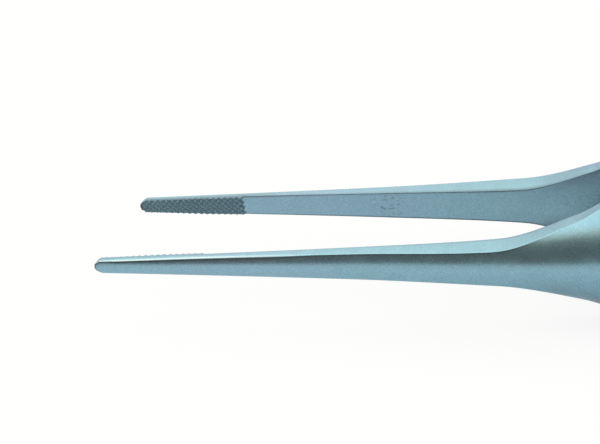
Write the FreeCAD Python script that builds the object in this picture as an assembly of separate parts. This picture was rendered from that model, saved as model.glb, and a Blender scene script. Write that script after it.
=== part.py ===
"""Utility forceps: two spring arms with fine serrated jaws and broad ridged grips, welded at the heel.

The part lies on its side edges, as it does on a table. X runs along it, with the tips towards -X, the
arms open along Y, and Z is up. All sizes are in millimetres. One arm is drawn on the +Y side, with its
mid-plane at Z = 0 and its tip at X = 0, and then mirrored and moved into place.
"""
import FreeCAD
import Part
import math
import os

# Lengths of the stretches of an arm, from the tip to the heel. Their sum is the overall length.
jaw_length = 10.3
front_shank_length = 13.6
rear_shank_length = 12.0
neck_length = 6.5
shoulder_length = 5.5
grip_length = 34.1
front_leaf_length = 14.0
rear_leaf_length = 16.0
weld_length = 8.0

# Openings between the arms' inner edges, with the arms relaxed. They meet at the weld.
tip_opening = 10.1
jaw_opening = 9.75
shank_opening = 9.4
neck_opening = 8.26
shoulder_opening = 7.24
grip_opening = 6.5
grip_rear_opening = 4.5
leaf_opening = 2.7

# Thicknesses of an arm at its edges.
tip_thickness = 0.80
jaw_thickness = 0.885
shank_thickness = 1.18
neck_thickness = 2.20
shoulder_thickness = 1.64
grip_thickness = 1.05
leaf_thickness = 1.10

# Widths of an arm.
tip_width = 1.2
jaw_width = 1.8
shank_width = 2.46
neck_width = 3.2
shoulder_width = 6.9
grip_width = 11.5
heel_width = 8.0

# Rise of the domed outer face above its edges, and depth of the hollow inner face.
tip_dome = 0.05
jaw_dome = 0.17
shank_dome = 0.235
neck_dome = 0.26
shoulder_dome = 1.42
grip_dome = 3.20
grip_rear_dome = 2.00
leaf_dome = 0.80
heel_dome = 0.15
shoulder_hollow = 0.75
grip_hollow = 2.45
grip_rear_hollow = 1.65
leaf_hollow = 0.65

# Blunt nose of each tip: a rounded point between two short bevels.
nose_length = 0.60
point_radius = 0.50

# Serrated jaw faces: two crossing sets of V grooves cut a raised pad into small pyramids.
pad_rise = 0.25
tooth_depth = 0.16
tooth_pitch_along = 0.58
tooth_pitch_across = 0.52

# Fine cross ridges on the outer face of each grip.
ridge_start = 45.3
ridge_pitch = 1.4
ridge_depth = 0.16
groove_width = 0.70
ridge_zone_length = 29.4

# Weld bead between the heels, in the groove that their bevelled edges leave.
weld_leg = 0.60

# Working allowances of the construction.
overhang = 0.2
heel_sink = 0.5
pad_stock = 0.05
groove_overrun = 0.1
wall_setback = 0.02
sections_per_stretch = [1, 2, 4, 6, 5, 3, 4, 4, 1]
cut_margin = 1.0

tip = 0.0
jaw_end = tip + jaw_length
mid_shank = jaw_end + front_shank_length
neck = mid_shank + rear_shank_length
shoulder = neck + neck_length
grip_start = shoulder + shoulder_length
grip_end = grip_start + grip_length
mid_leaf = grip_end + front_leaf_length
weld_start = mid_leaf + rear_leaf_length
overall_length = weld_start + weld_length


def vector(x, y, z):
    return FreeCAD.Vector(x, y, z)


def smooth(places, values):
    """Return a function that runs smoothly through the values and never overshoots them."""
    steps = [b - a for a, b in zip(places, places[1:])]
    slopes = [(b - a) / step for a, b, step in zip(values, values[1:], steps)]
    tangents = [slopes[0]]
    for before, after in zip(slopes, slopes[1:]):
        turning = before * after <= 0
        tangents.append(0.0 if turning else 2 * before * after / (before + after))
    tangents.append(slopes[-1])

    def value_at(place):
        place = min(max(place, places[0]), places[-1])
        index = max(i for i in range(len(steps)) if places[i] <= place)
        step = steps[index]
        t = (place - places[index]) / step
        rise = values[index + 1] - values[index]
        bend = (1 - t) * tangents[index] * step - t * tangents[index + 1] * step + (2 * t - 1) * rise
        return values[index] + t * rise + t * (1 - t) * bend

    return value_at


def half(opening):
    return opening / 2


main_places = [tip, jaw_end, mid_shank, neck, shoulder, grip_start, grip_end, mid_leaf, weld_start]

half_gaps = [
    half(tip_opening) + pad_rise, half(jaw_opening) + pad_rise, half(shank_opening), half(neck_opening),
    half(shoulder_opening), half(grip_opening), half(grip_rear_opening), half(leaf_opening), 0.0]

edge_thicknesses = [
    tip_thickness - pad_rise, jaw_thickness - pad_rise, shank_thickness, neck_thickness,
    shoulder_thickness, grip_thickness, grip_thickness, leaf_thickness, leaf_thickness]

# The inner face runs on past the mid-plane at the heel, where the mid-plane then trims it flat.
inner_edge_at = smooth(main_places + [overall_length], half_gaps + [-heel_sink])

outer_edge_at = smooth(
    main_places + [overall_length],
    [gap + thickness for gap, thickness in zip(half_gaps, edge_thicknesses)] + [leaf_thickness])

dome = smooth(
    main_places,
    [tip_dome, jaw_dome, shank_dome, neck_dome, shoulder_dome, grip_dome, grip_rear_dome, leaf_dome,
     heel_dome])

hollow = smooth(
    [neck, shoulder, grip_start, grip_end, mid_leaf, weld_start],
    [0.0, shoulder_hollow, grip_hollow, grip_rear_hollow, leaf_hollow, 0.0])

half_width = smooth(
    main_places,
    [half(tip_width), half(jaw_width), half(shank_width), half(neck_width), half(shoulder_width),
     half(grip_width), half(grip_width), (half(grip_width) + half(heel_width)) / 2, half(heel_width)])


def arc_radius(chord_half, rise):
    return (chord_half ** 2 + rise ** 2) / (2 * rise)


def bowed_edge(place, crown, rise, chord_half, reach):
    """Return the edge across an arm whose middle lies at the crown and whose sides drop by the rise."""
    flat_limit = 0.001
    if rise < flat_limit:
        return Part.makeLine(vector(place, crown, -reach), vector(place, crown, reach))
    radius = arc_radius(chord_half, rise)
    drop = radius - math.sqrt(radius ** 2 - reach ** 2)
    ends = [vector(place, crown - drop, side * reach) for side in (-1, 1)]
    return Part.Arc(ends[0], vector(place, crown, 0), ends[1]).toShape()


def section(place):
    """Return the closed section of an arm, a little wider than the arm is."""
    chord_half = half_width(place)
    reach = chord_half + overhang
    inner = inner_edge_at(place)
    outer = outer_edge_at(place)
    inner_edge = bowed_edge(place, inner + hollow(place), hollow(place), chord_half, reach)
    outer_edge = bowed_edge(place, outer + dome(place), dome(place), chord_half, reach)
    first_side = Part.makeLine(inner_edge.Vertexes[-1].Point, outer_edge.Vertexes[-1].Point)
    second_side = Part.makeLine(outer_edge.Vertexes[0].Point, inner_edge.Vertexes[0].Point)
    return Part.Wire([inner_edge, first_side, outer_edge, second_side])


def forged_bar():
    """Return the arm's long body, with its domed outer face and hollow inner face."""
    ends = main_places + [overall_length]
    places = [tip - overhang]
    for start, end, pieces in zip(ends, ends[1:], sections_per_stretch):
        places += [start + (end - start) * index / pieces for index in range(pieces)]
    places += [overall_length, overall_length + overhang]
    return Part.makeLoft([section_at_end(place) for place in places], True, True)


def section_at_end(place):
    """Return a section that keeps its end form where it runs past the arm's ends."""
    inside = min(max(place, tip), overall_length)
    wire = section(inside)
    wire.translate(vector(place - inside, 0, 0))
    return wire


def nose_edges(side, width):
    """Return the rounded point and the straight bevel of one side of the nose."""
    centre = tip + point_radius
    away = nose_length - point_radius
    turn = math.atan2(width, away) + math.acos(point_radius / math.hypot(away, width))

    def on_point(angle):
        return vector(centre + point_radius * math.cos(angle), 0, side * point_radius * math.sin(angle))

    point = Part.Arc(vector(tip, 0, 0), on_point((turn + math.pi) / 2), on_point(turn)).toShape()
    return [point, Part.makeLine(on_point(turn), vector(tip + nose_length, 0, side * width))]


def side_outline(side):
    """Return the edges of one side of the arm seen from outside, from the nose to the heel."""
    def point(place, width):
        return vector(place, 0, side * width)

    nose_end = tip + nose_length
    flank = Part.BSplineCurve()
    places = [nose_end, jaw_length / 2, jaw_end, (jaw_end + mid_shank) / 2, mid_shank,
              (mid_shank + neck) / 2, neck, (neck + shoulder) / 2, shoulder,
              (shoulder + grip_start) / 2, grip_start]
    flank.interpolate([point(place, half_width(place)) for place in places])
    grip = Part.makeLine(point(grip_start, half(grip_width)), point(grip_end, half(grip_width)))
    taper = Part.BezierCurve()
    third = (weld_start - grip_end) / 3
    taper.setPoles([
        point(grip_end, half(grip_width)), point(grip_end + third, half(grip_width)),
        point(weld_start - third, half(heel_width)), point(weld_start, half(heel_width))])
    return nose_edges(side, half_width(nose_end)) + [flank.toShape(), grip, taper.toShape()]


def heel_end_edges(start, inset):
    """Return the straight sides and round end of the heel, a given inset inside its outline."""
    radius = half(heel_width) - inset
    centre = overall_length - half(heel_width)
    upper = Part.makeLine(vector(start, 0, radius), vector(centre, 0, radius))
    lower = Part.makeLine(vector(centre, 0, -radius), vector(start, 0, -radius))
    end = Part.Arc(vector(centre, 0, radius), vector(centre + radius, 0, 0), vector(centre, 0, -radius))
    return [upper, end.toShape(), lower]


def plan_outline():
    """Return the face inside the arm's outline, seen from outside."""
    edges = side_outline(1) + heel_end_edges(weld_start, 0.0) + side_outline(-1)
    return Part.Face(Part.Wire(Part.__sortEdges__(edges)))


def jaw_slope():
    """Return the angle of the jaw face to the mid-plane, in degrees."""
    return math.degrees(math.atan2(half(jaw_opening) - half(tip_opening), jaw_length))


def jaw_pad():
    """Return the raised pad of the jaw, wider than the arm and sunk into it."""
    start = tip - overhang
    rise_at_start = half(tip_opening) + (half(tip_opening) - half(jaw_opening)) * overhang / jaw_length
    sunk = pad_rise + overhang
    corners = [
        vector(start, rise_at_start - pad_stock, 0), vector(jaw_end, half(jaw_opening) - pad_stock, 0),
        vector(jaw_end, half(jaw_opening) + sunk, 0), vector(start, rise_at_start + sunk, 0)]
    pad = Part.Face(Part.makePolygon(corners + corners[:1]))
    pad.translate(vector(0, 0, -jaw_width))
    return pad.extrude(vector(0, 0, 2 * jaw_width)).cut(pad_end_cutter())


def pad_end_cutter():
    """Return what is cut off the pad's rear end, so that it follows the last teeth in a zigzag."""
    count = 2 * math.ceil(jaw_width / tooth_pitch_across) + 1
    corners = []
    for index in range(-count, count + 1):
        back = 0.0 if index % 2 else -tooth_pitch_along / 2
        corners.append(vector(jaw_end + back - wall_setback, 0, index * tooth_pitch_across / 2))
    reach = corners[-1].z
    corners += [vector(jaw_end + cut_margin, 0, reach), vector(jaw_end + cut_margin, 0, -reach)]
    cutter = Part.Face(Part.makePolygon(corners + corners[:1]))
    return cutter.extrude(vector(0, tip_opening, 0))


def groove_comb(side):
    """Return one set of parallel V grooves as a single cutter, whose ridges lie on the plane Y = 0."""
    angle = math.atan2(tooth_pitch_across, tooth_pitch_along)
    spacing = tooth_pitch_along * math.sin(angle)
    reach = jaw_length + jaw_width
    count = math.ceil(reach / tooth_pitch_along)
    points = [(-count * spacing, 0.0)]
    for index in range(-count, count):
        points.append(((index + 0.5) * spacing, tooth_depth))
        points.append(((index + 1) * spacing, 0.0))
    outline = [(points[0][0], -cut_margin / 2)] + points + [(points[-1][0], -cut_margin / 2)]
    corners = [vector(0, depth, across) for across, depth in outline]
    comb = Part.Face(Part.makePolygon(corners + corners[:1]))
    comb.translate(vector(-2 * reach, 0, 0))
    comb = comb.extrude(vector(4 * reach, 0, 0))
    comb.rotate(vector(0, 0, 0), vector(0, 1, 0), side * math.degrees(angle))
    return comb


def jaw_grooves():
    """Return the two crossing sets of grooves, on the jaw face and no further."""
    start = -jaw_length - cut_margin
    window = Part.makeBox(groove_overrun - start, 2 * cut_margin, 2 * jaw_width,
                          vector(start, -cut_margin, -jaw_width))
    grooves = []
    for side in (1, -1):
        comb = groove_comb(side).common(window)
        comb.rotate(vector(0, 0, 0), vector(0, 0, 1), jaw_slope())
        comb.translate(vector(jaw_end, half(jaw_opening), 0))
        grooves.append(comb)
    return grooves


def grip_grooves():
    """Return the V rings that cut the fine ridges, each one following the dome at its place."""
    rings = []
    count = round(ridge_zone_length / ridge_pitch) + 1
    for index in range(count):
        place = ridge_start + index * ridge_pitch
        rise = dome(place)
        radius = arc_radius(half_width(place), rise)
        crown = outer_edge_at(place) + rise
        top = crown + ridge_depth
        half_top = groove_width
        corners = [vector(place, crown - ridge_depth, 0), vector(place + half_top, top, 0),
                   vector(place - half_top, top, 0)]
        cutter = Part.Face(Part.makePolygon(corners + corners[:1]))
        centre = vector(place, crown - radius, 0)
        cutter.rotate(centre, vector(1, 0, 0), -90)
        rings.append(cutter.revolve(centre, vector(1, 0, 0), 180))
    return rings


def heel_plug(leg, inner_y, outer_y):
    """Return the heel's outline between two heights, inset by the leg at the inner one."""
    wires = []
    for inset, height in ((leg, inner_y), (0.0, outer_y)):
        edges = heel_end_edges(weld_start, inset)
        closing = Part.makeLine(edges[2].Vertexes[-1].Point, edges[0].Vertexes[0].Point)
        wire = Part.Wire(edges + [closing])
        wire.translate(vector(0, height, 0))
        wires.append(wire)
    return Part.makeLoft(wires, True, True)


def heel_bevel():
    """Return what the bevel takes off the heel's inner edges: half of the weld's groove."""
    return heel_plug(0.0, 0.0, weld_leg).cut(heel_plug(weld_leg, 0.0, weld_leg))


def make_arm():
    """Return the arm on the +Y side."""
    depth = half(tip_opening) + neck_thickness + grip_dome
    arm = forged_bar().fuse(jaw_pad()).common(plan_outline().extrude(vector(0, depth, 0)))
    for grooves in jaw_grooves():
        arm = arm.cut(grooves)
    arm = arm.cut(grip_grooves())
    return arm.cut(heel_bevel())


def make_weld():
    """Return the weld bead: a U round the heel that fills both bevels."""
    bevel = heel_bevel()
    return bevel.fuse(bevel.mirror(vector(0, 0, 0), vector(0, 1, 0))).removeSplitter()


def save(name, shape):
    """Move a shape into place, check it and write it."""
    shape = shape.copy()
    shape.translate(vector(-overall_length / 2, 0, half(grip_width)))
    solids = shape.Solids
    print(name, len(solids), "solid", shape.isValid(), round(shape.Volume, 2), "mm3",
          shape.BoundBox)
    solids[0].exportStep("parts/" + name + ".step")


def main():
    os.makedirs("parts", exist_ok=True)
    arm = make_arm()
    save("arm_right", arm)
    save("arm_left", arm.mirror(vector(0, 0, 0), vector(0, 1, 0)))
    save("heel_weld", make_weld())


main()
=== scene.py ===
"""Looks of the utility forceps: satin steel arms with teeth and ridges, and the ground weld at the heel.

The shapes are drawn in millimetres in an arm's own measures: "place" runs from the tip (0) to the heel,
"across" is the height above the arm's mid-line, and "out" is the distance from the plane between the arms.
They become metres in the frame's own axes when a mesh is made.
"""
import math

import bpy
import numpy as np
from mathutils import Matrix, Vector


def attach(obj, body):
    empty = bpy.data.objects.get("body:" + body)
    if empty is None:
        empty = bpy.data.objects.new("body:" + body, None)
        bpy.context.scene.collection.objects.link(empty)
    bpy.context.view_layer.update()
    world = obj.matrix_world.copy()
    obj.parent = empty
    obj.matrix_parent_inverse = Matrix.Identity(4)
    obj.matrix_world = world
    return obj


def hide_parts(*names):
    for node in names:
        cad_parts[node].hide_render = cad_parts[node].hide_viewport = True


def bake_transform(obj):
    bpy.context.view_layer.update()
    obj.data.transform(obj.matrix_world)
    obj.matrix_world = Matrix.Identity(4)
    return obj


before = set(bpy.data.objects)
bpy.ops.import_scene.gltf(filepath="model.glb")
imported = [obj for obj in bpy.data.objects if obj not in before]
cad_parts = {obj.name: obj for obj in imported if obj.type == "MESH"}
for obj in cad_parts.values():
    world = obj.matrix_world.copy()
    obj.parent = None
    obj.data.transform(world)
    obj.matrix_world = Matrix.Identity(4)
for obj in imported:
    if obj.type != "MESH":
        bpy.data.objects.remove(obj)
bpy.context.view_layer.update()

mm = 0.001

# Measures below this, in millimetres, count as nothing.
tiny = 1e-6

# Stretches of an arm, from the tip to the heel.
tip = 0.0
jaw_end = tip + 10.3
mid_shank = jaw_end + 13.6
neck = mid_shank + 12.0
shoulder = neck + 6.5
grip_start = shoulder + 5.5
grip_end = grip_start + 34.1
mid_leaf = grip_end + 14.0
weld_start = mid_leaf + 16.0
overall_length = weld_start + 8.0
main_places = [tip, jaw_end, mid_shank, neck, shoulder, grip_start, grip_end, mid_leaf, weld_start]

# Openings between the arms' inner edges, thicknesses at the edges, and widths, at those places.
openings = [10.1, 9.75, 9.4, 8.26, 7.24, 6.5, 4.5, 2.7, 0.0]
thicknesses = [0.80, 0.885, 1.18, 2.20, 1.64, 1.05, 1.05, 1.10, 1.10]
widths = [1.2, 1.8, 2.46, 3.2, 6.9, 11.5, 11.5, 9.75, 8.0]
domes = [0.05, 0.17, 0.235, 0.26, 1.42, 3.20, 2.00, 0.80, 0.15]
hollow_places = [neck, shoulder, grip_start, grip_end, mid_leaf, weld_start]
hollows = [0.0, 0.75, 2.45, 1.65, 0.65, 0.0]
grip_half = widths[5] / 2
heel_half = widths[8] / 2
heel_centre = overall_length - heel_half
heel_sink = 0.5

# Blunt nose of each tip.
nose_length = 0.60
point_radius = 0.50
nose_zone = 1.2

# Serrated jaw face: crossing V grooves in a raised pad.
pad_rise = 0.25
tooth_depth = 0.16
tooth_pitch_along = 0.58
tooth_pitch_across = 0.52
cells_per_tooth = 16
tooth_rounding = 0.85
tooth_middle_share = 0.55

# Painted shade in the teeth: the least that any point of them has, and how much lies along the grooves of
# one set.
least_pit_shade = 0.1
groove_shade_share = 0.4

# Fine cross ridges on the outside of each grip.
ridge_start = 45.3
ridge_pitch = 1.4
ridge_depth = 0.16
groove_width = 0.70
ridge_zone_length = 29.4
last_ridge = round(ridge_zone_length / ridge_pitch)

# Rounding of the edges, and the bevel under the weld.
inner_rounding_places = [tip, jaw_end, mid_shank, neck, shoulder, grip_start, overall_length]
inner_roundings = [0.045, 0.045, 0.06, 0.07, 0.08, 0.12, 0.15]
outer_rounding_places = [tip, nose_zone, jaw_end, mid_shank, neck, shoulder, grip_start, overall_length]
outer_roundings = [0.12, 0.12, 0.08, 0.04, 0.04, 0.05, 0.12, 0.15]
weld_leg = 0.60

# The left arm's upper edge is rounder on the stretch that is polished, from the nose almost to the middle of
# the shank. There a highlight is painted on the outer edges between two turns of their rounding, in degrees.
polish_fades = 17.0
polish_end = 21.0
polish_places = [
    tip, nose_zone, 2 * nose_zone, jaw_end, polish_fades, polish_end, neck, shoulder, grip_start,
    overall_length]
polish_roundings = [0.12, 0.12, 0.19, 0.19, 0.17, 0.06, 0.04, 0.05, 0.12, 0.15]
highlight_turns = [20.0, 62.0]

# Painted shade: how much darker the inner faces get towards the hollow of the grip, along their middle and
# more at their rims, how dark their edges are, and the foot of the outer faces. The left arm's upper edge
# has a share.
shade_places = [tip, jaw_end, mid_shank, neck, shoulder, grip_start, overall_length]
shade_middles = [0.04, 0.04, 0.07, 0.10, 0.16, 0.20, 0.20]
shade_rims = [0.0, 0.0, 0.0, 0.08, 0.42, 0.42, 0.10]
shade_upper_edges = [0.70, 0.60, 0.45, 0.60, 0.25, 0.15, 0.10]
shade_lower_edges = [0.40, 0.40, 0.70, 0.80, 0.70, 0.50, 0.20]
shade_feet = [0.0, 0.0, 0.0, 0.04, 0.12, 0.16, 0.05]
left_edge_share = 0.25

# How much darker the sides are on the jaw and a little way up the shank, and the painted shadow on their
# upper corner on the jaw.
dark_side_end = 17.0
corner_shade_end = jaw_end + 1.0
dark_side_places = [tip, jaw_end, dark_side_end, overall_length]
dark_sides = [0.28, 0.22, 0.0, 0.0]
corner_shade_places = [tip, jaw_end, corner_shade_end, overall_length]
corner_shades = [0.60, 0.60, 0.0, 0.0]

# The fine painted dark line, a painted shade, along the upper rim of the outer face. Its width is that of
# the inner face's painted lines too.
shade_line_width = 0.16
shade_line_places = [tip, neck, shoulder, overall_length]
shade_line_shares = [0.55, 0.45, 0.0, 0.0]

# How finely an arm's surface is divided.
inner_half_columns = 28
outer_columns = 24
inner_round_steps = 4
wall_shares = [0.20, 0.45]
outer_round_steps = 10
outer_turns = np.linspace(0.0, math.pi / 2, outer_round_steps + 1)[:-1]
nose_arc_points = 24
nose_bevel_points = 12
nose_side_points = 30
nose_inset_points = 400
ridge_row_offsets = [0.04, 0.13, 0.26, 0.35, 0.40]
shank_rows = 70
grip_rear_rows = 9
leaf_rows = 42
heel_rows = 8
heel_turn_rows = 41
gap_before_weld = 0.1

# The parts of a cross row's ring of points, in their order round the arm.
ring_parts = [
    "inner face", "upper inner rounding", "upper wall", "upper outer rounding", "outer face",
    "lower outer rounding", "lower wall", "lower inner rounding"]

# The weld bead: its rows and columns, how proud of the heel it stands, and its ripple, swell and wavy edge.
bead_rows = 260
bead_columns = 13
bead_proud = 0.035
bead_ripple = 0.010
bead_ripple_length = 0.85
bead_swell_share = 0.4
bead_swell_length = 2.3
bead_swell_phase = 1.0
bead_fade_length = 0.9
bead_end_sink = 0.02
bead_edge_wave = 0.012
bead_edge_wave_length = 1.7

# Edges of the arms and of the bead that turn more sharply than this, in degrees, are shaded as sharp.
arm_sharp_degrees = 50
bead_sharp_degrees = 40


def smooth(places, values):
    """Return a function that runs smoothly through the values and never overshoots them."""
    places = np.array(places)
    values = np.array(values)
    steps = np.diff(places)
    slopes = np.diff(values) / steps
    before, after = slopes[:-1], slopes[1:]
    turning = before * after <= 0
    total = np.where(turning, 1.0, before + after)
    tangents = np.concatenate([slopes[:1], np.where(turning, 0.0, 2 * before * after / total), slopes[-1:]])

    def value_at(place):
        place = np.clip(place, places[0], places[-1])
        index = np.clip(np.searchsorted(places, place, side="right") - 1, 0, len(steps) - 1)
        step = steps[index]
        t = (place - places[index]) / step
        rise = values[index + 1] - values[index]
        bend = (1 - t) * tangents[index] * step - t * tangents[index + 1] * step + (2 * t - 1) * rise
        return values[index] + t * rise + t * (1 - t) * bend

    return value_at


padded = [pad_rise, pad_rise] + [0.0] * 7
half_gaps = [opening / 2 + pad for opening, pad in zip(openings, padded)]
outer_edges = [gap + thickness - pad for gap, thickness, pad in zip(half_gaps, thicknesses, padded)]
inner_edge_at = smooth(main_places + [overall_length], half_gaps + [-heel_sink])
outer_edge_at = smooth(main_places + [overall_length], outer_edges + [thicknesses[-1]])
dome_at = smooth(main_places, domes)
hollow_at = smooth(hollow_places, hollows)
half_width_at = smooth(main_places, [width / 2 for width in widths])
inner_rounding_at = smooth(inner_rounding_places, inner_roundings)
outer_rounding_at = smooth(outer_rounding_places, outer_roundings)
polish_rounding_at = smooth(polish_places, polish_roundings)
shade_middle_at = smooth(shade_places, shade_middles)
shade_rim_at = smooth(shade_places, shade_rims)
shade_upper_edge_at = smooth(shade_places, shade_upper_edges)
shade_lower_edge_at = smooth(shade_places, shade_lower_edges)
shade_foot_at = smooth(shade_places, shade_feet)
dark_side_at = smooth(dark_side_places, dark_sides)
corner_shade_at = smooth(corner_shade_places, corner_shades)
shade_line_share_at = smooth(shade_line_places, shade_line_shares)


def drop_of_arc(across, chord_half, rise):
    """Return how far a circular arc of that chord and rise has fallen at a distance from its middle."""
    rise = np.maximum(rise, tiny)
    radius = (chord_half ** 2 + rise ** 2) / (2 * rise)
    reach = np.minimum(np.abs(across), radius)
    return radius - np.sqrt(radius ** 2 - reach ** 2)


def rounded_wave(t):
    """Return 0 at whole numbers and 1 halfway, in straight flanks with slightly rounded turns."""
    flank = 2 * np.abs(t - np.round(t))
    return (1 - tooth_rounding) * flank + tooth_rounding * (1 - np.cos(math.pi * flank)) / 2


def tooth_lines(place, across):
    """Return the two diagonal measures that count the ridges of the jaw face."""
    angle = math.atan2(tooth_pitch_across, tooth_pitch_along)
    spacing = tooth_pitch_along * math.sin(angle)
    along = (place - jaw_end) * math.sin(angle)
    athwart = across * math.cos(angle)
    return (athwart - along) / spacing, (athwart + along) / spacing


def tooth_depth_at(place, across):
    """Return how deep the jaw face lies below its peaks, from 0 to 1."""
    first, second = tooth_lines(place, across)
    return np.maximum(rounded_wave(first), rounded_wave(second))


def pit_shade_at(place, across):
    """Return how much painted shade the jaw face has, from 0 to 1: along one set of grooves, most where both
    cross.
    """
    first, second = tooth_lines(place, across)
    return rounded_wave(second) * (groove_shade_share + (1 - groove_shade_share) * rounded_wave(first))


def on_pad(place, across):
    """Return whether a point lies on the raised pad, which ends in a zigzag along the last teeth."""
    first, second = tooth_lines(place, across)
    return np.round(second) - np.round(first) <= -1


def inner_height(place, across):
    """Return the distance of an arm's inner face from the plane between the arms."""
    rise = hollow_at(place)
    shell = inner_edge_at(place) + rise - drop_of_arc(across, half_width_at(place), rise)
    peaks = openings[0] / 2 + (openings[1] - openings[0]) / 2 * place / jaw_end
    from_middle = across / half_width_at(np.maximum(place, 0.0))
    wear = tooth_middle_share + (1 - tooth_middle_share) * from_middle ** 2
    toothed = peaks + tooth_depth * wear * tooth_depth_at(place, across)
    return np.maximum(np.where(on_pad(place, across), toothed, shell), 0.0)


def groove_depth_at(place):
    """Return how deep the grip's cross grooves are at a place, from 0 to 1."""
    number = np.clip(np.round((place - ridge_start) / ridge_pitch), 0, last_ridge)
    away = np.abs(place - ridge_start - number * ridge_pitch)
    return np.clip(1 - away / (groove_width / 2), 0.0, 1.0)


def outer_height(place, across):
    """Return the distance of an arm's outer face from the plane between the arms."""
    rise = dome_at(place)
    crown = outer_edge_at(place) + rise
    return crown - drop_of_arc(across, half_width_at(place), rise) - ridge_depth * groove_depth_at(place)


def nose_polyline():
    """Return the outline of one side of the nose, as places and half widths, from the point backwards."""
    width = half_width_at(nose_length)
    away = nose_length - point_radius
    turn = math.atan2(width, away) + math.acos(point_radius / math.hypot(away, width))
    angles = np.linspace(math.pi, turn, nose_arc_points)
    arc = np.column_stack([point_radius * (1 + np.cos(angles)), point_radius * np.sin(angles)])
    bevel = np.linspace(arc[-1], [nose_length, width], nose_bevel_points)[1:]
    places = np.linspace(nose_length, nose_zone, nose_side_points)[1:]
    return np.vstack([arc, bevel, np.column_stack([places, half_width_at(places)])])


def inset_polyline(outline, inset):
    """Return the same outline moved inwards: what lies behind every one of its edges by the inset."""
    edges = np.diff(outline, axis=0)
    normals = np.column_stack([-edges[:, 1], edges[:, 0]]) / np.linalg.norm(edges, axis=1)[:, None]
    limits = np.einsum("ij,ij->i", normals, outline[:-1]) - inset
    places = inset + (nose_zone - inset) * np.linspace(0.0, 1.0, nose_inset_points) ** 2
    widths_there = (limits[None, :] - normals[None, :, 0] * places[:, None]) / normals[None, :, 1]
    half_widths = np.maximum(widths_there.min(axis=1), 0.0)
    half_widths[0] = 0.0
    return np.column_stack([places, half_widths])


def run_lengths(points):
    """Return how far along a polyline each of its points lies."""
    return np.concatenate([[0.0], np.cumsum(np.linalg.norm(np.diff(points, axis=0), axis=1))])


def at_shares(points, shares):
    """Return the points that lie at given shares of a polyline's length."""
    lengths = run_lengths(points)
    target = shares * lengths[-1]
    return np.column_stack([np.interp(target, lengths, points[:, axis]) for axis in (0, 1)])


def jaw_rows():
    """Return the places of the cross rows on the jaw, in step with the teeth."""
    step = tooth_pitch_along / cells_per_tooth
    count = math.floor((jaw_end - inner_roundings[0]) / step - 0.5)
    return jaw_end - step * np.arange(count, -1, -1)


def body_rows():
    """Return the places of the cross rows from the jaw to the start of the round heel."""
    offsets = np.array(ridge_row_offsets)
    offsets = np.concatenate([-offsets[::-1], offsets])
    centres = ridge_start + ridge_pitch * np.arange(last_ridge + 1)
    ridges = (centres[:, None] + offsets[None, :]).ravel()
    shank = np.linspace(jaw_end, ridges[0], shank_rows)[1:-1]
    grip_rear = np.linspace(ridges[-1], grip_end, grip_rear_rows)[1:]
    leaf = np.linspace(grip_end, weld_start - gap_before_weld, leaf_rows)[1:]
    heel = np.linspace(weld_start, heel_centre, heel_rows)
    return np.concatenate([shank, ridges, grip_rear, leaf, heel])


def plan_half_width(place):
    """Return the half width of an arm's outline behind its nose."""
    t = np.clip((place - grip_end) / (weld_start - grip_end), 0.0, 1.0)
    taper = grip_half + (heel_half - grip_half) * t * t * (3 - 2 * t)
    return np.where(place < grip_start, half_width_at(place), taper)


def row_points(rounding_at):
    """Return for each cross row its point on the outline, and those on the inner and outer faces' rims."""
    outline = nose_polyline()
    inner_rim = inset_polyline(outline, inner_roundings[0])
    outer_rim = inset_polyline(outline, outer_roundings[0])
    jaw = jaw_rows()
    nose = jaw[jaw < nose_zone]
    rows = np.column_stack([nose, np.interp(nose, inner_rim[:, 0], inner_rim[:, 1])])
    rows = np.vstack([inner_rim[:1], rows])
    shares = run_lengths(np.vstack([rows, inner_rim[-1:]]))
    shares = shares[:-1] / shares[-1]
    edge = at_shares(outline, shares)
    outer = at_shares(outer_rim, shares)

    places = np.concatenate([jaw[jaw >= nose_zone], body_rows()])
    widths_there = plan_half_width(places)
    bevelled = places >= weld_start
    inner_inset = np.where(bevelled, weld_leg, inner_rounding_at(places))
    edge = np.vstack([edge, np.column_stack([places, widths_there])])
    rows = np.vstack([rows, np.column_stack([places, widths_there - inner_inset])])
    outer = np.vstack([outer, np.column_stack([places, widths_there - rounding_at(places)])])

    angles = np.linspace(math.pi / 2, 0.0, heel_turn_rows)[1:]
    turn = np.column_stack([np.cos(angles), np.sin(angles)])
    turn[-1, 1] = 0.0
    centre = np.array([heel_centre, 0.0])
    edge = np.vstack([edge, centre + heel_half * turn])
    rows = np.vstack([rows, centre + (heel_half - weld_leg) * turn])
    outer = np.vstack([outer, centre + (heel_half - outer_roundings[-1]) * turn])
    return edge, rows, outer


def inner_grid(inner):
    """Return the inner face's points: in step with the teeth on the jaw, evenly spread behind it."""
    in_jaw = inner[:, 0] <= jaw_end + tiny
    steps = np.arange(-inner_half_columns, inner_half_columns + 1)
    lattice = np.clip(steps[None, :] * tooth_pitch_across / cells_per_tooth, -inner[:, 1:], inner[:, 1:])
    spread = steps[None, :] / inner_half_columns * inner[:, 1:]
    across = np.where(in_jaw[:, None], lattice, spread)
    across[:, 0] = -inner[:, 1]
    across[:, -1] = inner[:, 1]
    place = np.repeat(inner[:, :1], len(steps), axis=1)
    return [place, across, inner_height(place, across)]


def outer_grid(above, below):
    """Return the outer face's points, from its upper rim to its lower one."""
    shares = np.linspace(0.0, 1.0, outer_columns + 1)[None, :]
    across = (1 - shares) * above[:, 1:] - shares * below[:, 1:]
    place = np.repeat(above[:, :1], outer_columns + 1, axis=1)
    return [place, across, outer_height(place, across)]


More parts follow.
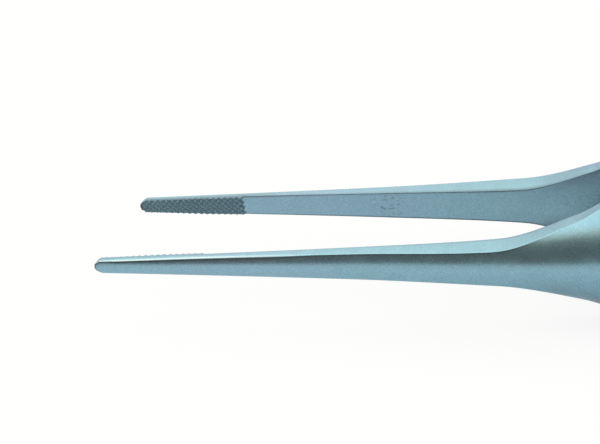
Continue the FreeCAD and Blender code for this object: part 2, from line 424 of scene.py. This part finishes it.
def round_in(edge, inner, side):
    """Return the loops from the inner rim to the wall, on one side of an arm."""
    bevelled = edge[:, :1] >= weld_start
    turns = np.linspace(math.pi / 2, 0.0, inner_round_steps + 1)[1:]
    share = np.where(bevelled, 2 * turns[None, :] / math.pi, 1 - np.cos(turns)[None, :])
    rounded = inner_rounding_at(edge[:, :1]) * (1 - np.sin(turns)[None, :])
    lift = np.where(bevelled, weld_leg * (1 - share), rounded)
    place = edge[:, :1] + share * (inner[:, :1] - edge[:, :1])
    across = edge[:, 1:] + share * (inner[:, 1:] - edge[:, 1:])
    return [place, side * across, inner_height(place, across) + lift]


def round_out(edge, outer, rounding_at, side):
    """Return the loops from the wall to the outer rim, on one side of an arm."""
    share = 1 - np.cos(outer_turns)[None, :]
    radius = np.linalg.norm(outer - edge, axis=1)[:, None]
    radius = np.minimum(radius, rounding_at(edge[:, :1]))
    place = edge[:, :1] + share * (outer[:, :1] - edge[:, :1])
    across = edge[:, 1:] + share * (outer[:, 1:] - edge[:, 1:])
    return [place, side * across, outer_height(place, across) - radius * (1 - np.sin(outer_turns)[None, :])]


def side_loops(edge, inner, outer, rounding_at, side):
    """Return one side's inner rounding, the wall between the roundings, and its outer rounding."""
    first = round_in(edge, inner, side)
    last = round_out(edge, outer, rounding_at, side)
    share = np.array(wall_shares)[None, :]
    wall = [a[:, -1:] + (b[:, :1] - a[:, -1:]) * share for a, b in zip(first, last)]
    return [first, wall, last]


def burnish_highlight_marks(shape, spans, edge):
    """Return how polished each point is, painted as a highlight: midway round the outer edges, less and less
    along the shank.
    """
    fade = np.clip((polish_end - edge[:, :1]) / (polish_end - jaw_end), 0.0, 1.0)
    arch_share = np.interp(np.degrees(outer_turns), highlight_turns, [0.0, 1.0])
    arched = np.sin(math.pi * arch_share)[None, :]
    burnish_and_highlight = np.zeros(shape)
    burnish_and_highlight[:, spans["upper outer rounding"]] = fade * arched
    burnish_and_highlight[:, spans["lower outer rounding"]] = fade * arched[:, ::-1]
    return burnish_and_highlight


def pit_shade_marks(shape, spans, inner_face):
    """Return how much painted shade each point of the teeth has, and 0 everywhere else."""
    place, across = inner_face[:2]
    pit_shade_amount = least_pit_shade + (1 - least_pit_shade) * pit_shade_at(place, across)
    pit_shade = np.zeros(shape)
    pit_shade[:, spans["inner face"]] = np.where(on_pad(place, across), pit_shade_amount, 0.0)
    return pit_shade


def shade_inner_face(inner, inner_face, upper_edge_share):
    """Return the painted shade of the inner face: more towards its rims, with a fine dark line along each.
    """
    place, across = inner_face[:2]
    rim_share = (across / np.maximum(half_width_at(place), tiny)) ** 2
    spread = shade_middle_at(place) + shade_rim_at(place) * rim_share
    below = np.clip(1 - (inner[:, 1:] + across) / shade_line_width, 0.0, 1.0) * shade_lower_edge_at(place)
    above = np.clip(1 - (inner[:, 1:] - across) / shade_line_width, 0.0, 1.0)
    above = above * upper_edge_share * shade_upper_edge_at(place)
    return np.maximum(spread, np.maximum(below, above))


def shade_outer_face(outer_above, outer_face):
    """Return the painted shade of the outer face: a fine dark line along its upper rim, and more towards its
    foot.
    """
    place, across = outer_face[:2]
    from_rim = outer_above[:, 1:] - across
    line = shade_line_share_at(place) * np.clip(1 - from_rim / shade_line_width, 0.0, 1.0)
    foot = shade_foot_at(place) * np.clip(-across / half_width_at(place), 0.0, 1.0)
    return np.maximum(line, foot)


def shade_edges(painted_shade, spans, edge, upper_edge_share):
    """Write into the marks the painted shade of the roundings and the walls."""
    along = edge[:, :1]
    painted_shade[:, spans["upper inner rounding"]] = upper_edge_share * shade_upper_edge_at(along)
    painted_shade[:, spans["lower inner rounding"]] = shade_lower_edge_at(along)
    painted_shade[:, spans["upper wall"]] = dark_side_at(along)
    painted_shade[:, spans["lower wall"]] = dark_side_at(along)
    # Painted shadow along the upper corner of the jaw's wall, on the left arm by its share.
    corner = spans["upper wall"].start
    painted_shade[:, corner] = np.maximum(painted_shade[:, corner], upper_edge_share * corner_shade_at(edge[:, 0]))
    # Beyond the painted highlight, the upper outer rounding carries the painted dark line.
    below_highlight = np.degrees(outer_turns)[None, :] > highlight_turns[1]
    painted_shade[:, spans["upper outer rounding"]] = shade_line_share_at(along) * below_highlight


def arm_rings(upper_rounding_at, upper_edge_share):
    """Return every cross row's ring of points, and marks of its edges, teeth and grooves, with painted
    highlight and painted shade.
    """
    edge, inner, outer_above = row_points(upper_rounding_at)
    outer_below = row_points(outer_rounding_at)[2]
    inner_face = inner_grid(inner)
    outer_face = outer_grid(outer_above, outer_below)
    upper = side_loops(edge, inner, outer_above, upper_rounding_at, 1)
    lower = side_loops(edge, inner, outer_below, outer_rounding_at, -1)
    lower = [[part[:, ::-1] for part in loops] for loops in reversed(lower)]
    pieces = [inner_face] + upper + [outer_face] + lower
    place, across, out = [np.hstack([piece[axis] for piece in pieces]) for axis in range(3)]

    starts = np.cumsum([0] + [piece[0].shape[1] for piece in pieces])
    spans = {name: slice(start, end) for name, start, end in zip(ring_parts, starts, starts[1:])}
    painted_shade = np.zeros(place.shape)
    painted_shade[:, spans["inner face"]] = shade_inner_face(inner, inner_face, upper_edge_share)
    painted_shade[:, spans["outer face"]] = shade_outer_face(outer_above, outer_face)
    shade_edges(painted_shade, spans, edge, upper_edge_share)
    groove_shade = np.zeros(place.shape)
    groove_shade[:, spans["outer face"]] = groove_depth_at(outer_face[0])
    burnish_and_highlight = burnish_highlight_marks(place.shape, spans, edge)
    pit_shade = pit_shade_marks(place.shape, spans, inner_face)
    return place, across, out, {"burnish_and_highlight": burnish_and_highlight, "pit_shade": pit_shade, "painted_shade": painted_shade, "groove_shade": groove_shade}


def weld_mesh(points, rows, columns, marks):
    """Return the shared points of a grid of closed rings, its clean faces and the marks of its points."""
    index = np.arange(rows * columns).reshape(rows, columns)
    here = index[:-1].ravel()
    beside = np.roll(index, -1, axis=1)[:-1].ravel()
    above = index[1:].ravel()
    across = np.roll(index, -1, axis=1)[1:].ravel()
    quads = np.column_stack([here, beside, across, above])
    grid = np.round(points / tiny).astype(np.int64)
    _, first, shared = np.unique(grid, axis=0, return_index=True, return_inverse=True)
    quads = shared.ravel()[quads]
    faces = []
    for quad in quads.tolist():
        corners = [corner for at, corner in enumerate(quad) if corner != quad[at - 1]]
        if len(set(corners)) == len(corners) and len(corners) > 2:
            faces.append(corners)
    return points[first], faces, {name: values.ravel()[first] for name, values in marks.items()}


def make_object(name, points, faces, marks, material, sharp_degrees):
    """Return a new mesh object from points in metres, with smooth shading up to a sharp angle."""
    mesh = bpy.data.meshes.new(name)
    mesh.from_pydata(points.tolist(), [], faces)
    for mark, values in marks.items():
        layer = mesh.attributes.new(name=mark, type="FLOAT", domain="POINT")
        layer.data.foreach_set("value", values.astype(np.float32))
    mesh.validate()
    mesh.shade_smooth()
    mesh.set_sharp_from_angle(angle=math.radians(sharp_degrees))
    mesh.materials.append(material)
    made = bpy.data.objects.new(name, mesh)
    bpy.context.scene.collection.objects.link(made)
    return made


def in_frame(place, across, out, side):
    """Return points in the frame's metres from an arm's own measures."""
    along = (place - overall_length / 2) * mm
    return np.column_stack([along.ravel(), (side * out * mm).ravel(), ((across + grip_half) * mm).ravel()])


def make_arm(name, side, material):
    """Make the arm on one side: 1 is the right arm, -1 the left."""
    rounding_at, edge_share = (outer_rounding_at, 1.0) if side > 0 else (polish_rounding_at, left_edge_share)
    place, across, out, marks = arm_rings(rounding_at, edge_share)
    rows, columns = place.shape
    points, faces, marks = weld_mesh(
        np.column_stack([place.ravel(), across.ravel(), out.ravel()]), rows, columns, marks)
    if side > 0:
        faces = [face[::-1] for face in faces]
    points = in_frame(points[:, 0], points[:, 1], points[:, 2], side)
    arm = make_object(name, points, faces, marks, material, arm_sharp_degrees)
    node = "arm_right" if side > 0 else "arm_left"
    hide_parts(node)
    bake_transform(arm)


def bead_path():
    """Return the run along the bead, its places on the heel's outline and the directions out of it."""
    straight = heel_centre - weld_start
    total = 2 * straight + math.pi * heel_half
    run = np.linspace(0.0, total, bead_rows)
    turn = np.clip((run - straight) / heel_half, 0.0, math.pi)
    back = np.maximum(run - straight - math.pi * heel_half, 0.0)
    place = heel_centre - straight + np.minimum(run, straight) + heel_half * np.sin(turn) - back
    across = heel_half * np.cos(turn)
    return run, place, across, turn


def bead_section(run):
    """Return for each row how proud of the outline and how far from the middle plane its points are."""
    full_turn = 2 * math.pi
    swell = bead_swell_share * np.sin(full_turn * run / bead_swell_length + bead_swell_phase)
    ripple = np.sin(full_turn * run / bead_ripple_length) + swell
    fade = np.clip(np.minimum(run, run[-1] - run) / bead_fade_length, 0.0, 1.0)
    shares = np.linspace(-1.0, 1.0, bead_columns)
    proud = (bead_proud + bead_ripple * ripple)[:, None] * (1 - shares[None, :] ** 2) * fade[:, None]
    proud = proud - bead_end_sink * (1 - fade[:, None])
    leg = weld_leg + bead_edge_wave * np.sin(full_turn * run / bead_edge_wave_length)[:, None]
    distance = np.hstack([proud, np.full((bead_rows, 1), -weld_leg)])
    out = np.hstack([shares[None, :] * leg, np.zeros((bead_rows, 1))])
    return distance, out


def make_weld_bead(material):
    """Make the bead that joins the heels: a shallow rippled rope round the heel, ground almost flush."""
    run, place, across, turn = bead_path()
    distance, out = bead_section(run)
    points = in_frame(place[:, None] + distance * np.sin(turn)[:, None],
                      across[:, None] + distance * np.cos(turn)[:, None], out, 1)
    rows, columns = distance.shape
    faces = []
    for row in range(rows - 1):
        for column in range(columns):
            after = (column + 1) % columns
            faces.append([row * columns + column, (row + 1) * columns + column,
                          (row + 1) * columns + after, row * columns + after])
    faces.append(list(range(columns)))
    faces.append([(rows - 1) * columns + column for column in reversed(range(columns))])
    bead = make_object("weld_bead", points, faces, {}, material, bead_sharp_degrees)
    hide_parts("heel_weld")
    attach(bead, "heel")


# Colours of the steel: its darker and lighter grain, each plain and with a lilac tinge, then its marks.
dark_grain = (0.190, 0.338, 0.431)
dark_lilac = (0.213, 0.328, 0.450)
light_grain = (0.279, 0.490, 0.628)
light_lilac = (0.311, 0.476, 0.651)
# Painted shade: the near-black towards which the shaded places of the arms are blended.
painted_shade_colour = (0.05, 0.048, 0.065)
# Painted highlight on the polished outer edges.
polished_highlight_colour = (0.50, 0.60, 0.61)
toothed_colour = (0.295, 0.455, 0.565)
# Painted shade in the pits and grooves of the teeth.
pit_shade_colour = (0.09, 0.12, 0.13)
# Painted shade in the grip's cross grooves.
groove_shade_colour = (0.10, 0.15, 0.17)
stain_colour = (0.10, 0.13, 0.14)
heat_colour = (0.17, 0.145, 0.105)
dark_weld = (0.20, 0.31, 0.35)
light_weld = (0.25, 0.37, 0.41)

# The stained patch on the right arm's inner face, in metres.
stain_centre = (-0.0361, 0.0041, 0.0056)
stain_radius = 0.0019

# From where to where the brown of the tips fades, in metres from their very end.
heat_start = 0.00008
heat_reach = 0.00028

# How high the grain of the metal stands, in metres.
grain_height = 0.00001


def new_material(name):
    """Return a new material with its nodes, its links and its main shader."""
    material = bpy.data.materials.new(name)
    material.use_nodes = True
    nodes = material.node_tree.nodes
    return material, nodes, material.node_tree.links, nodes["Principled BSDF"]


def noise(nodes, links, coordinates, scale, detail, roughness):
    node = nodes.new("ShaderNodeTexNoise")
    node.inputs["Scale"].default_value = scale
    node.inputs["Detail"].default_value = detail
    node.inputs["Roughness"].default_value = roughness
    links.new(coordinates, node.inputs["Vector"])
    return node.outputs["Fac"]


def remap(nodes, links, value, low, high, to_low, to_high):
    node = nodes.new("ShaderNodeMapRange")
    node.inputs["From Min"].default_value = low
    node.inputs["From Max"].default_value = high
    node.inputs["To Min"].default_value = to_low
    node.inputs["To Max"].default_value = to_high
    links.new(value, node.inputs["Value"])
    return node.outputs["Result"]


def blend_colours(nodes, links, share, first, second):
    """Mix two colours, each a fixed one or a node's output, by a share that varies over the surface."""
    node = nodes.new("ShaderNodeMix")
    node.data_type = "RGBA"
    links.new(share, node.inputs["Factor"])
    for slot, colour in (("A", first), ("B", second)):
        socket = next(s for s in node.inputs if s.name == slot and s.type == "RGBA")
        if isinstance(colour, tuple):
            socket.default_value = colour + (1.0,)
        else:
            links.new(colour, socket)
    return next(s for s in node.outputs if s.type == "RGBA")


def combine(nodes, links, operation, first, second):
    node = nodes.new("ShaderNodeMath")
    node.operation = operation
    for socket, value in zip(node.inputs, (first, second)):
        if isinstance(value, (int, float)):
            socket.default_value = value
        else:
            links.new(value, socket)
    return node.outputs["Value"]


def mark(nodes, name):
    node = nodes.new("ShaderNodeAttribute")
    node.attribute_name = name
    return node.outputs["Fac"]


def nearness(nodes, links, coordinates, centre, radius):
    """Return 1 at a point of the object, falling to 0 at a radius."""
    node = nodes.new("ShaderNodeVectorMath")
    node.operation = "DISTANCE"
    links.new(coordinates, node.inputs[0])
    node.inputs[1].default_value = centre
    return remap(nodes, links, node.outputs["Value"], 0.0, radius, 1.0, 0.0)


def stain_share(nodes, links, coordinates):
    """Return where a few small dark specks lie on the right arm's inner face."""
    stretch = nodes.new("ShaderNodeMapping")
    stretch.inputs["Scale"].default_value = (0.55, 1.0, 1.0)
    links.new(coordinates, stretch.inputs["Vector"])
    spots = noise(nodes, links, stretch.outputs["Vector"], 3400.0, 1.0, 0.5)
    near = nearness(nodes, links, coordinates, stain_centre, stain_radius)
    near = remap(nodes, links, near, 0.0, 0.4, 0.0, 1.0)
    return combine(nodes, links, "MULTIPLY", near, remap(nodes, links, spots, 0.54, 0.64, 0.0, 0.50))


def heat_share(nodes, links, coordinates):
    """Return where the very ends of the tips are slightly brown."""
    place = nodes.new("ShaderNodeSeparateXYZ")
    links.new(coordinates, place.inputs["Vector"])
    end = -overall_length / 2 * mm
    return remap(nodes, links, place.outputs["X"], end + heat_start, end + heat_reach, 0.9, 0.0)


def add_bump(nodes, links, shader, height, strength):
    """Roughen a shader's surface by a height that varies over it."""
    bump = nodes.new("ShaderNodeBump")
    bump.inputs["Strength"].default_value = strength
    bump.inputs["Distance"].default_value = grain_height
    links.new(height, bump.inputs["Height"])
    links.new(bump.outputs["Normal"], shader.inputs["Normal"])


def steel_colour(nodes, links, coordinates, mottle):
    """Return the plain steel's colour: light and dark grain, with a lilac tinge in broad patches."""
    speckle = noise(nodes, links, coordinates, 7500.0, 2.0, 0.7)
    broad = noise(nodes, links, coordinates, 55.0, 2.0, 0.5)
    tone = combine(nodes, links, "ADD", combine(nodes, links, "MULTIPLY", mottle, 0.25),
                   combine(nodes, links, "MULTIPLY", speckle, 0.75))
    lilac_share = remap(nodes, links, broad, 0.5, 0.7, 0.0, 0.7)
    dark = blend_colours(nodes, links, lilac_share, dark_grain, dark_lilac)
    light = blend_colours(nodes, links, lilac_share, light_grain, light_lilac)
    return blend_colours(nodes, links, remap(nodes, links, tone, 0.28, 0.72, 0.0, 1.0), dark, light)


def toothed_share(nodes, links):
    """Return 1 on the teeth and 0 elsewhere."""
    return remap(nodes, links, mark(nodes, "pit_shade"), 0.0, least_pit_shade / 2, 0.0, 1.0)


def jaw_colour(nodes, links, toothed, colour):
    """Return the colour with the plainer teeth and the painted shade between them."""
    # Painted shade between the teeth.
    pit_shade_amount = remap(nodes, links, mark(nodes, "pit_shade"), least_pit_shade, 0.9, 0.14, 0.42)
    pit_shade_amount = combine(nodes, links, "MULTIPLY", pit_shade_amount, toothed)
    colour = blend_colours(nodes, links, combine(nodes, links, "MULTIPLY", toothed, 0.9), colour,
                           toothed_colour)
    return blend_colours(nodes, links, pit_shade_amount, colour, pit_shade_colour)


def satin_steel():
    """Bead-blasted steel: fine grain, slight mottling, edges brighter by a painted highlight, and painted
    shade in the pits between the teeth, the grooves and towards the hollows.
    """
    material, nodes, links, shader = new_material("satin_steel")
    coordinates = nodes.new("ShaderNodeTexCoord").outputs["Object"]
    mottle = noise(nodes, links, coordinates, 700.0, 4.0, 0.6)
    toothed = toothed_share(nodes, links)
    colour = steel_colour(nodes, links, coordinates, mottle)
    # Painted shade towards the hollow, along the edges and at the foot of the outer faces.
    colour = blend_colours(nodes, links, mark(nodes, "painted_shade"), colour, painted_shade_colour)
    # Painted highlight on the polished outer edges, between two turns of their rounding.
    colour = blend_colours(nodes, links, mark(nodes, "burnish_and_highlight"), colour, polished_highlight_colour)
    colour = jaw_colour(nodes, links, toothed, colour)
    # Painted shade in the grip's cross grooves, deepest at their middle.
    groove_shade = combine(nodes, links, "MULTIPLY", mark(nodes, "groove_shade"), 0.35)
    colour = blend_colours(nodes, links, groove_shade, colour, groove_shade_colour)
    colour = blend_colours(nodes, links, stain_share(nodes, links, coordinates), colour, stain_colour)
    colour = blend_colours(nodes, links, heat_share(nodes, links, coordinates), colour, heat_colour)
    links.new(colour, shader.inputs["Base Color"])

    shader.inputs["Metallic"].default_value = 1.0
    rough = remap(nodes, links, mottle, 0.3, 0.7, 0.24, 0.30)
    rough = combine(nodes, links, "ADD", rough, combine(nodes, links, "MULTIPLY", toothed, 0.68))
    links.new(rough, shader.inputs["Roughness"])
    add_bump(nodes, links, shader, noise(nodes, links, coordinates, 5500.0, 3.0, 0.65), 0.1)
    return material


def ground_weld():
    """The ground bead: a little darker and rougher than the arms."""
    material, nodes, links, shader = new_material("ground_weld")
    coordinates = nodes.new("ShaderNodeTexCoord").outputs["Object"]
    mottle = noise(nodes, links, coordinates, 1500.0, 3.0, 0.6)
    share = remap(nodes, links, mottle, 0.35, 0.65, 0.0, 1.0)
    links.new(blend_colours(nodes, links, share, dark_weld, light_weld), shader.inputs["Base Color"])
    shader.inputs["Metallic"].default_value = 1.0
    links.new(remap(nodes, links, mottle, 0.3, 0.7, 0.26, 0.40), shader.inputs["Roughness"])
    add_bump(nodes, links, shader, noise(nodes, links, coordinates, 6000.0, 3.0, 0.6), 0.5)
    return material


def white_where_seen(nodes, links, plain, seen_share, mirrored_share):
    """Return a shader that is white by one share to the camera and by another in reflections, else plain."""
    path = nodes.new("ShaderNodeLightPath").outputs
    mirrored = combine(nodes, links, "MAXIMUM", path["Is Glossy Ray"], path["Is Transmission Ray"])
    seen = combine(nodes, links, "MULTIPLY", path["Is Camera Ray"], seen_share)
    mirrored = combine(nodes, links, "MULTIPLY", mirrored, mirrored_share)
    mix = nodes.new("ShaderNodeMixShader")
    links.new(combine(nodes, links, "MAXIMUM", seen, mirrored), mix.inputs["Fac"])
    links.new(plain, mix.inputs[1])
    return mix


def make_floor():
    """Make the pale floor, which the camera sees as white with a soft shadow."""
    half_side = 3.0
    mesh = bpy.data.meshes.new("floor")
    corners = [(-half_side, -half_side, 0), (half_side, -half_side, 0),
               (half_side, half_side, 0), (-half_side, half_side, 0)]
    mesh.from_pydata(corners, [], [(0, 1, 2, 3)])
    floor = bpy.data.objects.new("floor", mesh)
    bpy.context.scene.collection.objects.link(floor)
    material, nodes, links, shader = new_material("floor_paper")
    shader.inputs["Base Color"].default_value = (0.84, 0.86, 0.89, 1.0)
    shader.inputs["Roughness"].default_value = 0.9
    shader.inputs["Specular IOR Level"].default_value = 0.0
    glow = nodes.new("ShaderNodeEmission")
    mix = white_where_seen(nodes, links, shader.outputs["BSDF"], seen_share=0.85, mirrored_share=0.2)
    links.new(glow.outputs["Emission"], mix.inputs[2])
    links.new(mix.outputs["Shader"], nodes["Material Output"].inputs["Surface"])
    mesh.materials.append(material)


def make_world():
    """Light the room evenly, with a white background."""
    world = bpy.data.worlds.new("studio")
    bpy.context.scene.world = world
    world.use_nodes = True
    nodes = world.node_tree.nodes
    links = world.node_tree.links
    plain = nodes["Background"]
    plain.inputs["Color"].default_value = (1.0, 1.0, 1.0, 1.0)
    plain.inputs["Strength"].default_value = 0.42
    white = nodes.new("ShaderNodeBackground")
    mix = white_where_seen(nodes, links, plain.outputs["Background"], seen_share=1.0, mirrored_share=1.0)
    links.new(white.outputs["Background"], mix.inputs[2])
    links.new(mix.outputs["Shader"], nodes["World Output"].inputs["Surface"])


def make_area_lamp(name, place, aim, size, radiance, colour):
    """Make a soft rectangular lamp of a given size in metres, surface brightness and colour."""
    lamp = bpy.data.lights.new(name, "AREA")
    lamp.shape = "RECTANGLE"
    lamp.size, lamp.size_y = size
    lamp.color = colour
    lamp.energy = radiance * math.pi * size[0] * size[1]
    holder = bpy.data.objects.new(name, lamp)
    bpy.context.scene.collection.objects.link(holder)
    holder.location = place
    holder.rotation_euler = (Vector(aim) - Vector(place)).to_track_quat("-Z", "Y").to_euler()
    holder.visible_camera = False


# The dark card in front of the tool, in metres: it lies on the floor from near the tool to the bend, and
# there it stands up to an angle seen from the tool. It gets paler on the way up, between four heights.
card_near = 0.026
card_lift = 0.0004
card_bend = 0.8
card_half_span = 3.0
card_top_degrees = 48.0
card_top = card_bend * math.tan(math.radians(card_top_degrees))
card_dark_height = 0.19
card_middle_height = 0.55
card_pale_height = 0.66

# The card's colours. At the middle height it is brighter to the side, between two places along the tool.
card_dark_colour = (0.25, 0.217, 0.183)
card_middle_colour = (0.34, 0.29, 0.225)
card_aside_colour = (0.72, 0.62, 0.48)
card_pale_colour = (1.35, 1.10, 0.80)
card_top_colour = (1.60, 1.45, 1.15)
card_aside_from = -0.3
card_aside_to = -1.8


def card_mesh():
    """Return the card's mesh: a strip on the floor and one that stands at its far end."""
    corners = []
    for away, up in ((card_near, card_lift), (card_bend, card_lift), (card_bend, card_top)):
        for side in (-card_half_span, card_half_span):
            corners.append((side, -away, up))
    mesh = bpy.data.meshes.new("dark_card")
    mesh.from_pydata(corners, [], [(0, 1, 3, 2), (2, 3, 5, 4)])
    return mesh


def card_colour(nodes, links):
    """Return the card's colour, from dark on the floor to pale at the top."""
    place = nodes.new("ShaderNodeSeparateXYZ")
    links.new(nodes.new("ShaderNodeTexCoord").outputs["Object"], place.inputs["Vector"])
    aside = remap(nodes, links, place.outputs["X"], card_aside_to, card_aside_from, 1.0, 0.0)
    colour = card_dark_colour
    middle = blend_colours(nodes, links, aside, card_middle_colour, card_aside_colour)
    heights = [card_dark_height, card_middle_height, card_pale_height, card_top]
    for low, high, above in zip(heights, heights[1:], [middle, card_pale_colour, card_top_colour]):
        rise = remap(nodes, links, place.outputs["Z"], low, high, 0.0, 1.0)
        colour = blend_colours(nodes, links, rise, colour, above)
    return colour


def make_dark_card():
    """Make the dark card in front of the tool, which only reflections show."""
    mesh = card_mesh()
    card = bpy.data.objects.new("dark_card", mesh)
    bpy.context.scene.collection.objects.link(card)
    material, nodes, links, _ = new_material("dark_card")
    glow = nodes.new("ShaderNodeEmission")
    links.new(card_colour(nodes, links), glow.inputs["Color"])
    links.new(glow.outputs["Emission"], nodes["Material Output"].inputs["Surface"])
    mesh.materials.append(material)
    card.visible_camera = False
    card.visible_diffuse = False
    card.visible_shadow = False


# The camera's place in metres, its direction and its roll in degrees.
camera_place = (0.01357, -0.13410, 0.08076)
camera_azimuth = 22.72
camera_descent = 26.965
camera_roll = 11.42
camera_lens = 113.66
camera_sensor = 36.0


def make_camera():
    """Make the camera at the photograph's viewing angle."""
    azimuth = math.radians(camera_azimuth)
    descent = math.radians(camera_descent)
    roll = math.radians(camera_roll)
    right = Vector((math.cos(azimuth), math.sin(azimuth), 0.0))
    ahead = Vector((-math.sin(azimuth) * math.cos(descent), math.cos(azimuth) * math.cos(descent),
                    -math.sin(descent)))
    up = right.cross(ahead)
    side = math.cos(roll) * right - math.sin(roll) * up
    above = math.sin(roll) * right + math.cos(roll) * up
    data = bpy.data.cameras.new("camera")
    data.lens = camera_lens
    data.sensor_width = camera_sensor
    data.clip_start = 0.01
    camera = bpy.data.objects.new("camera", data)
    bpy.context.scene.collection.objects.link(camera)
    turn = Matrix((side, above, -ahead)).transposed()
    camera.matrix_world = Matrix.Translation(Vector(camera_place)) @ turn.to_4x4()
    bpy.context.scene.camera = camera


bpy.context.scene.view_settings.view_transform = "Standard"

make_camera()
make_world()
make_floor()
make_dark_card()
make_area_lamp("overhead", place=(0.0, 0.0, 0.9), aim=(0.0, 0.0, 0.0), size=(2.4, 2.3), radiance=1.05,
               colour=(1.0, 0.93, 0.72))
make_area_lamp("above", place=(0.0, 0.1, 0.8), aim=(0.0, 0.0, 0.0), size=(0.5, 0.5), radiance=0.9,
               colour=(1.0, 1.0, 1.0))
make_area_lamp("behind", place=(-0.42, 0.82, 0.50), aim=(0.0, 0.0, 0.02), size=(1.8, 0.52), radiance=0.56,
               colour=(1.0, 0.94, 0.66))

steel = satin_steel()
make_arm("arm_right_steel", 1, steel)
make_arm("arm_left_steel", -1, steel)
make_weld_bead(ground_weld())
